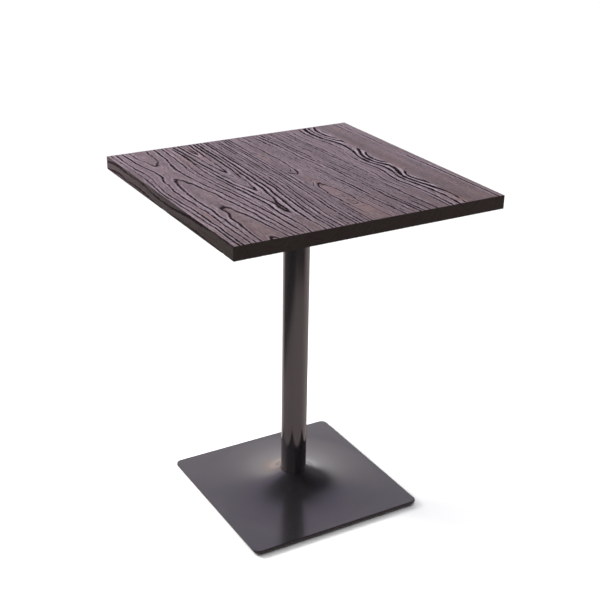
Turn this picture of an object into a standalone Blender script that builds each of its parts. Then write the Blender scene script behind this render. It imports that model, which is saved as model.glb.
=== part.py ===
"""A square bistro table: a glued wooden top on a steel column with a flared square foot.

Metres, +Z up. The origin is on the floor, under the middle of the column. The wood grain runs
along X. One long tie rod clamps spider, column, foot cover and hub into one stand.
"""

import math

import bmesh
import bpy
from mathutils import Matrix, Vector

# Fit between pieces
GAP = 0.0003  # kept between pieces that rest on or sit in each other

# Wooden top
TABLE_HEIGHT = 0.750
TOP_SIDE = 0.600
TOP_THICKNESS = 0.028
ARRIS = 0.001  # easing along the top's outer edges
GLUE_JOINTS = (-0.156, -0.010, 0.140, 0.214)  # where boards meet, along Y

# Column
COLUMN_RADIUS = 0.0285
COLUMN_WALL = 0.0015

# Foot
FOOT_SIDE = 0.412
FOOT_CORNER = 0.015
FOOT_LIFT = 0.0066  # floor to the rim's lower edge
RIM_HEIGHT = 0.0048
SHEET = 0.0012  # thickness of the foot's cover
NECK_HEIGHT = 0.048  # floor to the ledge that the column stands on
LEDGE = 0.002  # how far that ledge shows around the column
FLARE = 0.042  # distance in which the flare loses most of its height
FLARE_END = 0.195  # radius where the cover is level
BALLAST = 0.003  # thickness of the ballast plate
NUT_HOLE_ROOM = 0.001  # how much wider its middle hole is than the nut pocket

# Hub inside the flare
HUB_FLANGE_RADIUS = 0.058
HUB_FLANGE = 0.0088
HUB_EDGE = 0.001  # chamfer on the hub's edges
SPIGOT = 0.026  # how deep hub and spider reach into the column
SEAT_WALL = 0.012  # thickness of hub and spider under each nut

# Spider under the top
SPIDER_BOSS_RADIUS = 0.036
SPIDER_DEPTH = 0.032  # wood to the column's upper end
ARM_REACH = 0.155
ARM_WIDTH = 0.034
ARM_PLATE = 0.006
ARM_RIB = 0.004
ARM_RIB_DEPTH = 0.024
ARM_TIP_DEPTH = 0.008
ARM_HOLES = (0.090, 0.138)  # distance of an arm's screws from the column's axis

# M12 tie rod with its nuts and washers
ROD_RADIUS = 0.006
ROD_END = 0.004  # rod standing out of each nut
NUT_FLATS = 0.018
NUT_HEIGHT = 0.010
NUT_CHAMFER = 0.0012
WASHER_RADIUS = 0.012
WASHER = 0.0025  # thickness of both kinds of washer
WASHER_SPLIT = math.radians(16)  # gap in a spring washer
ROD_CHAMFER = 0.0012
POCKET_RADIUS = 0.017  # room for a socket spanner around each nut

# Wood screws, spider to top
SCREW_RADIUS = 0.00275
SCREW_LENGTH = 0.022
SCREW_POINT = 0.004
SCREW_HEAD_RADIUS = 0.0055
SCREW_HEAD = 0.0034
SCREW_SOCKET_DEPTH = 0.0022
SCREW_SOCKET = 0.004  # hexagon socket, across flats

# M6 countersunk screws, ballast plate to hub
HUB_SCREW_RADIUS = 0.003
HUB_SCREW_HEAD_RADIUS = 0.006
HUB_SCREW_LENGTH = 0.0090
HUB_SCREW_CIRCLE = 0.045
HUB_SCREW_SOCKET_DEPTH = 0.0018

# M8 levelling glides
GLIDE_INSET = 0.020  # glide's axis to the foot's sides
GLIDE_THREAD_RADIUS = 0.004
GLIDE_PAD_RADIUS = 0.014
GLIDE_PAD_HEIGHT = 0.0062
GLIDE_HEAD_RADIUS = 0.008
GLIDE_HEAD = 0.0013
GLIDE_BARREL_RADIUS = 0.0062
GLIDE_FLANGE_RADIUS = 0.0095
GLIDE_FLANGE = 0.0014
GLIDE_STUD_CHAMFER = 0.0006
GLIDE_SOCKET_DEPTH = 0.0023
PAD_FLOOR = 0.0016  # pad's thickness under the stud's head
PAD_HOLE = 0.0032  # radius of the hole that shows the stud's socket
PAD_LIP = 0.0006  # thickness of the lip over the stud's head, and its overlap
PAD_EDGE = 0.0012  # rounding of the pad's lower edge
NUT_CLEARANCE = 0.0005  # stud's head to the nut above it

# Sides of round pieces
FINE = 36
MEDIUM = 24
COARSE = 12
SHARP = math.radians(32)  # faces that meet at more than this keep a sharp edge

# Heights above the floor and a radius that follow from the sizes above
WOOD_BOTTOM = TABLE_HEIGHT - TOP_THICKNESS
SPIDER_TOP = WOOD_BOTTOM - GAP
ARM_UNDERSIDE = SPIDER_TOP - ARM_PLATE
COLUMN_TOP = SPIDER_TOP - SPIDER_DEPTH - GAP
COLUMN_BOTTOM = NECK_HEIGHT + GAP
COVER_LEVEL = FOOT_LIFT + RIM_HEIGHT
BALLAST_TOP = COVER_LEVEL - SHEET - GAP
BALLAST_BOTTOM = BALLAST_TOP - BALLAST
HUB_BOTTOM = BALLAST_TOP + GAP
HUB_SEAT = NECK_HEIGHT - SHEET - GAP
SPIGOT_RADIUS = COLUMN_RADIUS - COLUMN_WALL - GAP
HEAD_BOTTOM = PAD_FLOOR + GAP
HEAD_TOP = HEAD_BOTTOM + GLIDE_HEAD


# Outlines


def circle(radius, z, sides):
    """Points of a level circle, counter-clockwise from +X."""
    step = math.tau / sides
    return [
        Vector((radius * math.cos(i * step), radius * math.sin(i * step), z))
        for i in range(sides)
    ]


def hexagon(flats, z, sides):
    """Points along a level hexagon at the same angles as those of circle(). sides is 12 or 24."""
    sixth = math.pi / 3
    points = []
    for point in circle(flats / 2, z, sides):
        angle = math.atan2(point.y, point.x)
        off_flat = (angle + sixth / 2) % sixth - sixth / 2
        reach = 1 / math.cos(off_flat)
        points.append(Vector((point.x * reach, point.y * reach, z)))
    return points


def square_radius(angle, half, corner):
    """Distance from the middle of a rounded square to its outline, at a polar angle."""
    quarter = math.pi / 2
    off_side = abs((angle + quarter / 2) % quarter - quarter / 2)
    straight = half - corner
    if half * math.tan(off_side) <= straight:
        return half / math.cos(off_side)
    along = straight * (math.cos(off_side) + math.sin(off_side))
    return along + math.sqrt(along**2 - 2 * straight**2 + corner**2)


def square_angles():
    """Polar angles around the foot: even steps along each side and finer ones around the corners."""
    half = FOOT_SIDE / 2
    tangent = math.atan2(half - FOOT_CORNER, half)
    side_steps, corner_steps = 8, 3
    angles = []
    for quarter in range(4):
        middle = quarter * math.pi / 2
        for i in range(side_steps):
            angles.append(middle - tangent + 2 * tangent * i / side_steps)
        corner_span = math.pi / 2 - 2 * tangent
        for i in range(corner_steps):
            angles.append(middle + tangent + corner_span * i / corner_steps)
    return angles


def rounded_square(inset, z):
    """Points of the foot's outline, moved in by inset, at the angles of square_angles()."""
    half = FOOT_SIDE / 2 - inset
    corner = FOOT_CORNER - inset
    points = []
    for angle in square_angles():
        radius = square_radius(angle, half, corner)
        points.append(Vector((radius * math.cos(angle), radius * math.sin(angle), z)))
    return points


# Solids


def loft(rows, ring=False):
    """Solid through rows of points. A ring joins the last row to the first; others get caps."""
    shape = bmesh.new()
    rings = [[shape.verts.new(point) for point in row] for row in rows]
    pairs = list(zip(rings, rings[1:]))
    if ring:
        pairs.append((rings[-1], rings[0]))
    else:
        shape.faces.new(rings[0])
        shape.faces.new(rings[-1])
    for one, other in pairs:
        for i in range(len(one)):
            j = (i + 1) % len(one)
            shape.faces.new((one[i], one[j], other[j], other[i]))
    bmesh.ops.recalc_face_normals(shape, faces=shape.faces)
    return shape


def turned(profile, sides):
    """Solid turned about Z from (radius, z) points. Off the axis, the profile closes on itself."""
    shape = bmesh.new()
    points = [shape.verts.new((radius, 0, z)) for radius, z in profile]
    edges = [shape.edges.new(pair) for pair in zip(points, points[1:])]
    if profile[0][0] > 0:
        edges.append(shape.edges.new((points[-1], points[0])))
    bmesh.ops.spin(
        shape,
        geom=points + edges,
        axis=(0, 0, 1),
        angle=math.tau,
        steps=sides,
        use_merge=True,
    )
    bmesh.ops.remove_doubles(shape, verts=shape.verts, dist=1e-6)
    bmesh.ops.recalc_face_normals(shape, faces=shape.faces)
    return shape


def joined(shapes):
    """One mesh that holds several separate shapes, for a cutter with many holes."""
    whole = bmesh.new()
    for shape in shapes:
        data = bpy.data.meshes.new("shape")
        shape.to_mesh(data)
        shape.free()
        whole.from_mesh(data)
        bpy.data.meshes.remove(data)
    return whole


def moved(shape, x, y, z=0.0, turn=0.0):
    """The shape turned about Z, then moved."""
    shape.transform(Matrix.Translation((x, y, z)) @ Matrix.Rotation(turn, 4, "Z"))
    return shape


# Objects


def material(name, colour, roughness, metallic):
    """A plain Principled material."""
    made = bpy.data.materials.new(name)
    made.use_nodes = True
    shader = made.node_tree.nodes["Principled BSDF"]
    shader.inputs["Base Color"].default_value = (*colour, 1)
    shader.inputs["Roughness"].default_value = roughness
    shader.inputs["Metallic"].default_value = metallic
    return made


def mesh_of(name, shape, finish):
    """Mesh data from a shape, smooth where it is round."""
    data = bpy.data.meshes.new(name)
    shape.to_mesh(data)
    shape.free()
    data.materials.append(finish)
    data.shade_smooth()
    data.set_sharp_from_angle(angle=SHARP)
    return data


def place(name, data, location=(0, 0, 0), parent=None):
    """A sub-part at its place. Under a parent, the place is counted from the parent's origin."""
    part = bpy.data.objects.new(name, data)
    bpy.context.scene.collection.objects.link(part)
    part.location = location
    part.parent = parent
    return part


def cutter(name, shape):
    """A hidden shape for a Boolean."""
    data = bpy.data.meshes.new(name)
    shape.to_mesh(data)
    shape.free()
    tool = place(name, data)
    tool.hide_render = True
    tool.display_type = "WIRE"
    return tool


def combine(part, tool, operation):
    """Boolean of part and tool, kept as a modifier."""
    step = part.modifiers.new(tool.name, "BOOLEAN")
    step.operation = operation
    step.object = tool


def rod_hole(radius, low, high, sides):
    """A plain upright cylinder, to cut a hole."""
    return turned([(0, low), (radius, low), (radius, high), (0, high)], sides)


def screw_places():
    """Where the spider's screws stand: two on each diagonal arm, as (x, y)."""
    places = []
    for arm in range(4):
        angle = math.pi / 4 + arm * math.pi / 2
        for reach in ARM_HOLES:
            places.append((reach * math.cos(angle), reach * math.sin(angle)))
    return places


def hub_screw_places():
    """Where the hub's screws stand, as (x, y)."""
    return [(point.x, point.y) for point in circle(HUB_SCREW_CIRCLE, 0, 4)]


def glide_places():
    """Where the four levelling glides stand, as (x, y)."""
    reach = FOOT_SIDE / 2 - GLIDE_INSET
    return [(-reach, -reach), (reach, -reach), (reach, reach), (-reach, reach)]


# Wooden top


def board_shape(low_y, high_y):
    """A board between two joints. Only edges on the top's outside are eased."""
    half = TOP_SIDE / 2
    shape = bmesh.new()
    bmesh.ops.create_cube(shape, size=1)
    size = Vector((TOP_SIDE, high_y - low_y, TOP_THICKNESS))
    middle = Vector((0, (low_y + high_y) / 2, TOP_THICKNESS / 2))
    for point in shape.verts:
        point.co = middle + size * point.co

    def outside(edge):
        a, b = (point.co for point in edge.verts)
        on_end = abs(abs(a.x) - half) < ARRIS / 2 and abs(a.x - b.x) < ARRIS / 2
        on_side = abs(abs(a.y) - half) < ARRIS / 2 and abs(a.y - b.y) < ARRIS / 2
        level = abs(a.z - b.z) < ARRIS / 2
        return (on_end and on_side) or (level and (on_end or on_side))

    edges = [edge for edge in shape.edges if outside(edge)]
    bmesh.ops.bevel(shape, geom=edges, offset=ARRIS, segments=2, profile=0.5, affect="EDGES")
    return shape


def build_top(wood):
    """The boards, with pilot holes for the spider's screws."""
    half = TOP_SIDE / 2
    joints = (-half, *GLUE_JOINTS, half)
    depth = SCREW_LENGTH - ARM_PLATE + GAP
    holes = [
        moved(rod_hole(SCREW_RADIUS + GAP, -GAP, depth, COARSE), x, y, WOOD_BOTTOM)
        for x, y in screw_places()
    ]
    pilot_holes = cutter("pilot_holes", joined(holes))
    for i, (low, high) in enumerate(zip(joints, joints[1:]), start=1):
        low_y = low + (GAP / 2 if i > 1 else 0)
        high_y = high - (GAP / 2 if i < len(joints) - 1 else 0)
        name = f"top_board_{i}"
        board = place(name, mesh_of(name, board_shape(low_y, high_y), wood), (0, 0, WOOD_BOTTOM))
        if any(low_y < y < high_y for _, y in screw_places()):
            combine(board, pilot_holes, "DIFFERENCE")


# Spider and its screws


def arm_section(reach, half_width, rib_depth):
    """The channel section of a spider arm: a plate with a rib down each edge, seen along X."""
    inner = half_width - ARM_RIB
    outline = (
        (half_width, 0),
        (half_width, -rib_depth),
        (inner, -rib_depth),
        (inner, -ARM_PLATE),
        (-inner, -ARM_PLATE),
        (-inner, -rib_depth),
        (-half_width, -rib_depth),
        (-half_width, 0),
    )
    return [Vector((reach, y, z)) for y, z in outline]


def arm_shape():
    """One arm along +X, its upper face at z = 0. Its ribs run out towards a rounded tip."""
    start = POCKET_RADIUS + ARM_RIB
    half = ARM_WIDTH / 2
    tip_radius = half * 0.75
    straight_end = ARM_REACH - tip_radius
    rows = [
        arm_section(start, half, ARM_RIB_DEPTH),
        arm_section(SPIDER_BOSS_RADIUS, half, ARM_RIB_DEPTH),
        arm_section(straight_end, half, ARM_TIP_DEPTH),
    ]
    tip_steps, tip_turn = 4, math.radians(70)
    for i in range(1, tip_steps + 1):
        angle = i / tip_steps * tip_turn
        reach = straight_end + tip_radius * math.sin(angle)
        half_width = half - tip_radius * (1 - math.cos(angle))
        rows.append(arm_section(reach, half_width, ARM_TIP_DEPTH))
    return loft(rows)


def build_spider(iron):
    """The cast spider: a boss with a nut pocket, a spigot into the column, and four arms."""
    pocket_floor = -SPIDER_DEPTH + SEAT_WALL
    boss = turned(
        [
            (POCKET_RADIUS, 0),
            (SPIDER_BOSS_RADIUS, 0),
            (SPIDER_BOSS_RADIUS, -SPIDER_DEPTH),
            (SPIGOT_RADIUS, -SPIDER_DEPTH),
            (SPIGOT_RADIUS, -SPIDER_DEPTH - SPIGOT),
            (ROD_RADIUS + GAP, -SPIDER_DEPTH - SPIGOT),
            (ROD_RADIUS + GAP, pocket_floor),
            (POCKET_RADIUS, pocket_floor),
        ],
        FINE,
    )
    spider = place("top_spider", mesh_of("top_spider", boss, iron), (0, 0, SPIDER_TOP))
    arms = [
        moved(arm_shape(), 0, 0, SPIDER_TOP, turn=math.pi / 4 + i * math.pi / 2) for i in range(4)
    ]
    holes = [
        moved(rod_hole(SCREW_RADIUS + GAP, -ARM_PLATE - GAP, GAP, COARSE), x, y, SPIDER_TOP)
        for x, y in screw_places()
    ]
    combine(spider, cutter("spider_arms", joined(arms)), "UNION")
    combine(spider, cutter("spider_holes", joined(holes)), "DIFFERENCE")


def build_spider_screws(zinc):
    """Wood screws up through the arms. Their rounded heads have a hexagon socket."""
    tip = SCREW_LENGTH - SCREW_POINT - 2 * GAP
    crown = 0.75 * SCREW_HEAD_RADIUS
    shoulder = -0.6 * SCREW_HEAD
    point = 0.2 * SCREW_RADIUS
    shape = loft(
        [
            hexagon(SCREW_SOCKET, SCREW_SOCKET_DEPTH - SCREW_HEAD, COARSE),
            hexagon(SCREW_SOCKET, -SCREW_HEAD, COARSE),
            circle(crown, -SCREW_HEAD, COARSE),
            circle(SCREW_HEAD_RADIUS, shoulder, COARSE),
            circle(SCREW_HEAD_RADIUS, 0, COARSE),
            circle(SCREW_RADIUS, 0, COARSE),
            circle(SCREW_RADIUS, tip, COARSE),
            circle(point, tip + SCREW_POINT, COARSE),
        ]
    )
    data = mesh_of("spider_screw", shape, zinc)
    for i, (x, y) in enumerate(screw_places(), start=1):
        place(f"spider_screw_{i}", data, (x, y, ARM_UNDERSIDE - GAP))


# Column and tie rod


def build_column(gunmetal):
    """The tube between the foot's neck and the spider."""
    inner = COLUMN_RADIUS - COLUMN_WALL
    length = COLUMN_TOP - COLUMN_BOTTOM
    shape = turned(
        [(COLUMN_RADIUS, 0), (COLUMN_RADIUS, length), (inner, length), (inner, 0)], FINE
    )
    place("column_tube", mesh_of("column_tube", shape, gunmetal), (0, 0, COLUMN_BOTTOM))


def nut_shape():
    """A hexagon nut with its lower face at z = 0, chamfered at both ends."""
    face = NUT_FLATS / 2
    bore = ROD_RADIUS + GAP
    return loft(
        [
            circle(face, 0, MEDIUM),
            hexagon(NUT_FLATS, NUT_CHAMFER, MEDIUM),
            hexagon(NUT_FLATS, NUT_HEIGHT - NUT_CHAMFER, MEDIUM),
            circle(face, NUT_HEIGHT, MEDIUM),
            circle(bore, NUT_HEIGHT, MEDIUM),
            circle(bore, 0, MEDIUM),
        ],
        ring=True,
    )


def washer_shape():
    """A flat washer with its lower face at z = 0."""
    bore = ROD_RADIUS + GAP
    return turned([(bore, 0), (WASHER_RADIUS, 0), (WASHER_RADIUS, WASHER), (bore, WASHER)], MEDIUM)


def spring_washer_shape():
    """A split spring washer with its lower face at z = 0."""
    bore = ROD_RADIUS + GAP
    outer = NUT_FLATS / 2
    upward = Vector((0, 0, WASHER))
    rows = []
    for i in range(MEDIUM):
        angle = WASHER_SPLIT / 2 + i / (MEDIUM - 1) * (math.tau - WASHER_SPLIT)
        outward = Vector((math.cos(angle), math.sin(angle), 0))
        low = [bore * outward, outer * outward]
        rows.append(low + [point + upward for point in reversed(low)])
    return loft(rows)


def build_tie_rod(zinc):
    """The rod with a flat washer, a spring washer and a nut at each end, counted from the seats."""
    low_seat = NECK_HEIGHT - SHEET - SEAT_WALL
    high_seat = SPIDER_TOP - SPIDER_DEPTH + SEAT_WALL
    stack = (
        ("washer", washer_shape(), WASHER),
        ("spring_washer", spring_washer_shape(), WASHER),
        ("nut", nut_shape(), NUT_HEIGHT),
    )
    reach = 0.0
    for name, shape, height in stack:
        data = mesh_of(name, shape, zinc)
        reach += GAP
        place(f"top_{name}", data, (0, 0, high_seat + reach))
        reach += height
        place(f"bottom_{name}", data, (0, 0, low_seat - reach))
    bottom = low_seat - reach - ROD_END
    length = high_seat + reach + ROD_END - bottom
    shape = turned(
        [
            (0, 0),
            (ROD_RADIUS - ROD_CHAMFER, 0),
            (ROD_RADIUS, ROD_CHAMFER),
            (ROD_RADIUS, length - ROD_CHAMFER),
            (ROD_RADIUS - ROD_CHAMFER, length),
            (0, length),
        ],
        MEDIUM,
    )
    place("tie_rod", mesh_of("tie_rod", shape, zinc), (0, 0, bottom))


# Foot


def flare_height(radius):
    """Height of the cover's outer face: a ledge at the column, then a trumpet-shaped flare."""
    start = COLUMN_RADIUS + LEDGE
    if radius <= start:
        return NECK_HEIGHT
    if radius >= FLARE_END:
        return COVER_LEVEL
    last = math.exp(-(FLARE_END - start) / FLARE)
    share = (math.exp(-(radius - start) / FLARE) - last) / (1 - last)
    return COVER_LEVEL + (NECK_HEIGHT - COVER_LEVEL) * share


def flare_slope(radius):
    """Fall of the outer face for each metre outwards."""
    step = 0.0005
    return (flare_height(radius - step) - flare_height(radius + step)) / (2 * step)


def cover_row(share, under):
    """Points around the cover, from its ledge (share 0) to its rim (share 1), above or under it."""
    start = COLUMN_RADIUS + LEDGE
    inset = 2 * SHEET
    points = []
    for angle in square_angles():
        edge = square_radius(angle, FOOT_SIDE / 2 - inset, FOOT_CORNER - inset)
        radius = start + (FLARE_END - start) * share
        radius += (edge - FLARE_END) * share**4
        z = flare_height(radius)
        if under:
            z -= SHEET * math.sqrt(1 + flare_slope(radius) ** 2)
        points.append(Vector((radius * math.cos(angle), radius * math.sin(angle), z)))
    return points


def neck_row(radius, z):
    """A circle at the cover's angles."""
    return [Vector((radius * math.cos(a), radius * math.sin(a), z)) for a in square_angles()]


def build_cover(gunmetal):
    """The foot's cover: a ledge with a hole, a flare, and a rim turned down around the ballast."""
    hole = COLUMN_RADIUS - COLUMN_WALL
    under_ledge = NECK_HEIGHT - SHEET
    flare_steps = 9  # closer together near the column, where the flare is steep
    shares = [(i / flare_steps) ** 1.5 for i in range(flare_steps + 1)]
    rows = [neck_row(hole, NECK_HEIGHT)]
    rows += [cover_row(share, under=False) for share in shares]
    rows += [
        rounded_square(SHEET * 0.6, COVER_LEVEL - SHEET * 0.3),
        rounded_square(0, COVER_LEVEL - SHEET),
        rounded_square(0, FOOT_LIFT),
        rounded_square(SHEET, FOOT_LIFT),
        rounded_square(SHEET, COVER_LEVEL - 1.5 * SHEET),
    ]
    rows += [cover_row(share, under=True) for share in reversed(shares[1:])]
    rows += [
        neck_row(COLUMN_RADIUS + LEDGE / 2, under_ledge),
        neck_row(hole, under_ledge),
    ]
    place("base_cover", mesh_of("base_cover", loft(rows, ring=True), gunmetal))


def build_ballast(steel):
    """The plate under the cover, with holes for the nut, the hub's screws and the glides."""
    inset = 2 * SHEET
    shape = loft([rounded_square(inset, BALLAST_BOTTOM), rounded_square(inset, BALLAST_TOP)])
    plate = place("ballast_plate", mesh_of("ballast_plate", shape, steel))
    below, above = BALLAST_BOTTOM - GAP, BALLAST_TOP + GAP
    holes = [rod_hole(POCKET_RADIUS + NUT_HOLE_ROOM, below, above, MEDIUM)]
    for x, y in glide_places():
        holes.append(moved(rod_hole(GLIDE_BARREL_RADIUS + GAP, below, above, MEDIUM), x, y))
    shank = HUB_SCREW_RADIUS + GAP
    head = HUB_SCREW_HEAD_RADIUS + GAP
    countersink = [
        (0, below),
        (head, below),
        (head, BALLAST_BOTTOM),
        (shank, BALLAST_BOTTOM + head - shank),
        (shank, above),
        (0, above),
    ]
    for x, y in hub_screw_places():
        holes.append(moved(turned(countersink, COARSE), x, y))
    combine(plate, cutter("ballast_holes", joined(holes)), "DIFFERENCE")


def build_hub(iron):
    """The cast hub: a flange on the ballast plate, a seat for the cover, a spigot, a nut pocket."""
    boss = COLUMN_RADIUS + LEDGE / 2
    seat = NECK_HEIGHT - SHEET - SEAT_WALL
    flange_top = HUB_BOTTOM + HUB_FLANGE
    bore = ROD_RADIUS + GAP
    shape = turned(
        [
            (POCKET_RADIUS, HUB_BOTTOM),
            (HUB_FLANGE_RADIUS, HUB_BOTTOM),
            (HUB_FLANGE_RADIUS, flange_top - HUB_EDGE),
            (HUB_FLANGE_RADIUS - HUB_EDGE, flange_top),
            (boss + 3 * HUB_EDGE, flange_top),
            (boss, flange_top + 3 * HUB_EDGE),
            (boss, HUB_SEAT - HUB_EDGE),
            (boss - HUB_EDGE, HUB_SEAT),
            (SPIGOT_RADIUS, HUB_SEAT),
            (SPIGOT_RADIUS, HUB_SEAT + SPIGOT - HUB_EDGE),
            (SPIGOT_RADIUS - HUB_EDGE, HUB_SEAT + SPIGOT),
            (bore, HUB_SEAT + SPIGOT),
            (bore, seat),
            (POCKET_RADIUS, seat),
        ],
        FINE,
    )
    hub = place("foot_hub", mesh_of("foot_hub", shape, iron))
    depth = BALLAST_BOTTOM + HUB_SCREW_LENGTH + 2 * GAP
    holes = [
        moved(rod_hole(HUB_SCREW_RADIUS + GAP, HUB_BOTTOM - GAP, depth, COARSE), x, y)
        for x, y in hub_screw_places()
    ]
    combine(hub, cutter("hub_holes", joined(holes)), "DIFFERENCE")


def build_hub_screws(zinc):
    """Countersunk screws up through the ballast plate, with hexagon sockets."""
    cone = HUB_SCREW_HEAD_RADIUS - HUB_SCREW_RADIUS
    shape = loft(
        [
            hexagon(SCREW_SOCKET, HUB_SCREW_SOCKET_DEPTH, COARSE),
            hexagon(SCREW_SOCKET, 0, COARSE),
            circle(HUB_SCREW_HEAD_RADIUS, 0, COARSE),
            circle(HUB_SCREW_RADIUS, cone, COARSE),
            circle(HUB_SCREW_RADIUS, HUB_SCREW_LENGTH, COARSE),
        ]
    )
    data = mesh_of("hub_screw", shape, zinc)
    for i, (x, y) in enumerate(hub_screw_places(), start=1):
        place(f"hub_screw_{i}", data, (x, y, BALLAST_BOTTOM + GAP / 2))


# Levelling glides


def glide_pad_shape():
    """A nylon cup on the floor. Its lip holds the stud's head, and a hole shows the head's socket."""
    lip_bottom = HEAD_TOP + GAP
    lip_top = lip_bottom + PAD_LIP
    lip_radius = GLIDE_HEAD_RADIUS - PAD_LIP
    cup_radius = GLIDE_FLANGE_RADIUS + 2 * GAP
    outer = GLIDE_PAD_RADIUS
    return turned(
        [
            (PAD_HOLE, 0),
            (outer - PAD_EDGE, 0),
            (outer, PAD_EDGE),
            (outer, GLIDE_PAD_HEIGHT - PAD_EDGE / 2),
            (outer - PAD_EDGE / 2, GLIDE_PAD_HEIGHT),
            (cup_radius, GLIDE_PAD_HEIGHT),
            (cup_radius, lip_top),
            (lip_radius, lip_top),
            (lip_radius, lip_bottom),
            (GLIDE_HEAD_RADIUS + GAP, lip_bottom),
            (GLIDE_HEAD_RADIUS + GAP, PAD_FLOOR),
            (PAD_HOLE, PAD_FLOOR),
        ],
        MEDIUM,
    )


def glide_stud_shape():
    """A threaded stud with a flat head, and a hexagon socket in the head's underside."""
    thread = GLIDE_THREAD_RADIUS
    return loft(
        [
            hexagon(SCREW_SOCKET, HEAD_BOTTOM + GLIDE_SOCKET_DEPTH, COARSE),
            hexagon(SCREW_SOCKET, HEAD_BOTTOM, COARSE),
            circle(GLIDE_HEAD_RADIUS, HEAD_BOTTOM, COARSE),
            circle(GLIDE_HEAD_RADIUS, HEAD_TOP, COARSE),
            circle(thread, HEAD_TOP, COARSE),
            circle(thread, BALLAST_TOP - GLIDE_STUD_CHAMFER, COARSE),
            circle(thread - GLIDE_STUD_CHAMFER, BALLAST_TOP, COARSE),
        ]
    )


def glide_nut_shape():
    """A flanged nut, pressed up into the ballast plate. Its lower barrel reaches into the cup."""
    flange_top = BALLAST_BOTTOM - GAP
    flange_bottom = flange_top - GLIDE_FLANGE
    bottom = HEAD_TOP + NUT_CLEARANCE
    bore = GLIDE_THREAD_RADIUS + GAP
    return turned(
        [
            (bore, bottom),
            (GLIDE_BARREL_RADIUS, bottom),
            (GLIDE_BARREL_RADIUS, flange_bottom),
            (GLIDE_FLANGE_RADIUS, flange_bottom),
            (GLIDE_FLANGE_RADIUS, flange_top),
            (GLIDE_BARREL_RADIUS, flange_top),
            (GLIDE_BARREL_RADIUS, BALLAST_TOP - GAP),
            (bore, BALLAST_TOP - GAP),
        ],
        COARSE,
    )


def build_glides(nylon, zinc):
    """A pad, a stud and a nut under each corner. The stud travels with its pad and turns in it."""
    pad_data = mesh_of("glide_pad", glide_pad_shape(), nylon)
    stud_data = mesh_of("glide_stud", glide_stud_shape(), zinc)
    nut_data = mesh_of("glide_nut", glide_nut_shape(), zinc)
    for i, (x, y) in enumerate(glide_places(), start=1):
        pad = place(f"glide_pad_{i}", pad_data, (x, y, 0))
        place(f"glide_stud_{i}", stud_data, parent=pad)
        place(f"glide_nut_{i}", nut_data, (x, y, 0))


def main():
    for thing in list(bpy.data.objects):
        bpy.data.objects.remove(thing)
    wood = material("stained_wood", (0.10, 0.065, 0.06), 0.55, 0.0)
    gunmetal = material("gunmetal_steel", (0.14, 0.13, 0.135), 0.35, 1.0)
    steel = material("black_plate", (0.03, 0.03, 0.03), 0.6, 0.8)
    iron = material("black_cast_iron", (0.025, 0.025, 0.027), 0.7, 0.6)
    zinc = material("zinc_plated_steel", (0.55, 0.55, 0.58), 0.35, 1.0)
    nylon = material("black_nylon", (0.02, 0.02, 0.02), 0.5, 0.0)
    build_top(wood)
    build_spider(iron)
    build_spider_screws(zinc)
    build_column(gunmetal)
    build_tie_rod(zinc)
    build_cover(gunmetal)
    build_ballast(steel)
    build_hub(iron)
    build_hub_screws(zinc)
    build_glides(nylon, zinc)


main()
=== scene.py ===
"""Looks of the bistro table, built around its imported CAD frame.

Metres, +Z up. The origin is on the floor, under the middle of the column. The wood grain runs
along X. Every piece stands for one CAD node and fills the same space.
"""

import math

import bmesh
import bpy
import numpy as np
from mathutils import Matrix, Vector


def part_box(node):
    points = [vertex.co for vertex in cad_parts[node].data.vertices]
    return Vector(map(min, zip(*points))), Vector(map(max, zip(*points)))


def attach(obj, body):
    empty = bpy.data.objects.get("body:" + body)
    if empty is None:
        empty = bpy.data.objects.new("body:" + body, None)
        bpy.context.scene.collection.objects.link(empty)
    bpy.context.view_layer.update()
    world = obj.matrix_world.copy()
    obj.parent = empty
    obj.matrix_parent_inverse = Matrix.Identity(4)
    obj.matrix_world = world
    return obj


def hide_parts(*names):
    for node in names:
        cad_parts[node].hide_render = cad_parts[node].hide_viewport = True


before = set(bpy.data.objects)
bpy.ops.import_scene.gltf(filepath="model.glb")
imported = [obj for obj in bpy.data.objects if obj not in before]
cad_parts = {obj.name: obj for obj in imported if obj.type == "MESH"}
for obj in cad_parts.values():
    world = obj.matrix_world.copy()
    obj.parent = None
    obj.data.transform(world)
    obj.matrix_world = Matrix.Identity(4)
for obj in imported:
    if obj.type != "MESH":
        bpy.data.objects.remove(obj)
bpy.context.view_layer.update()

# Sizes read from the frame
TOP_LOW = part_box("top_board_1")[0]
TOP_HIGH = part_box("top_board_5")[1]
COVER_LOW, COVER_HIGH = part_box("base_cover")
COLUMN_LOW, COLUMN_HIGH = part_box("column_tube")
COLUMN_RADIUS = COLUMN_HIGH.x

# Sizes of the CAD model that its boxes don't give
GAP = 0.0003  # kept between pieces that rest on or sit in each other
ARRIS = 0.001  # easing along the top's outer edges
COLUMN_WALL = 0.0015
SHEET = 0.0012  # thickness of the foot's cover
RIM_HEIGHT = 0.0048
COVER_LEVEL = COVER_LOW.z + RIM_HEIGHT
LEDGE = 0.002  # how far the cover's ledge shows around the column
FLARE = 0.042  # distance in which the flare loses most of its height
FLARE_END = 0.195  # radius where the cover is level
FOOT_CORNER = 0.015
MIDDLE_HOLE_RADIUS = 0.018  # hole in the ballast plate, under the lower nut
SOCKET = 0.004  # hexagon socket of every screw and stud, across flats

# Looks of the boards
BOARD_STEPS = (0.003, 0.00075, 0.0015)  # size of the mesh along X, Y and Z
GLUE_REACH = 0.00013  # how far a board reaches past its CAD box, into the gap at a glue joint
GROOVE_DEPTH = 0.0005
LINE_WIDTH = 0.0008  # half width of the faintest main line
LINE_GROWTH = 0.0011  # how much wider a line of strength 1 is
LINE_SLACK = 0.012  # widening in years, which shows where the growth rings lie almost flat
FINE_WIDTH = 0.0006  # half width of the fine lines

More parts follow.
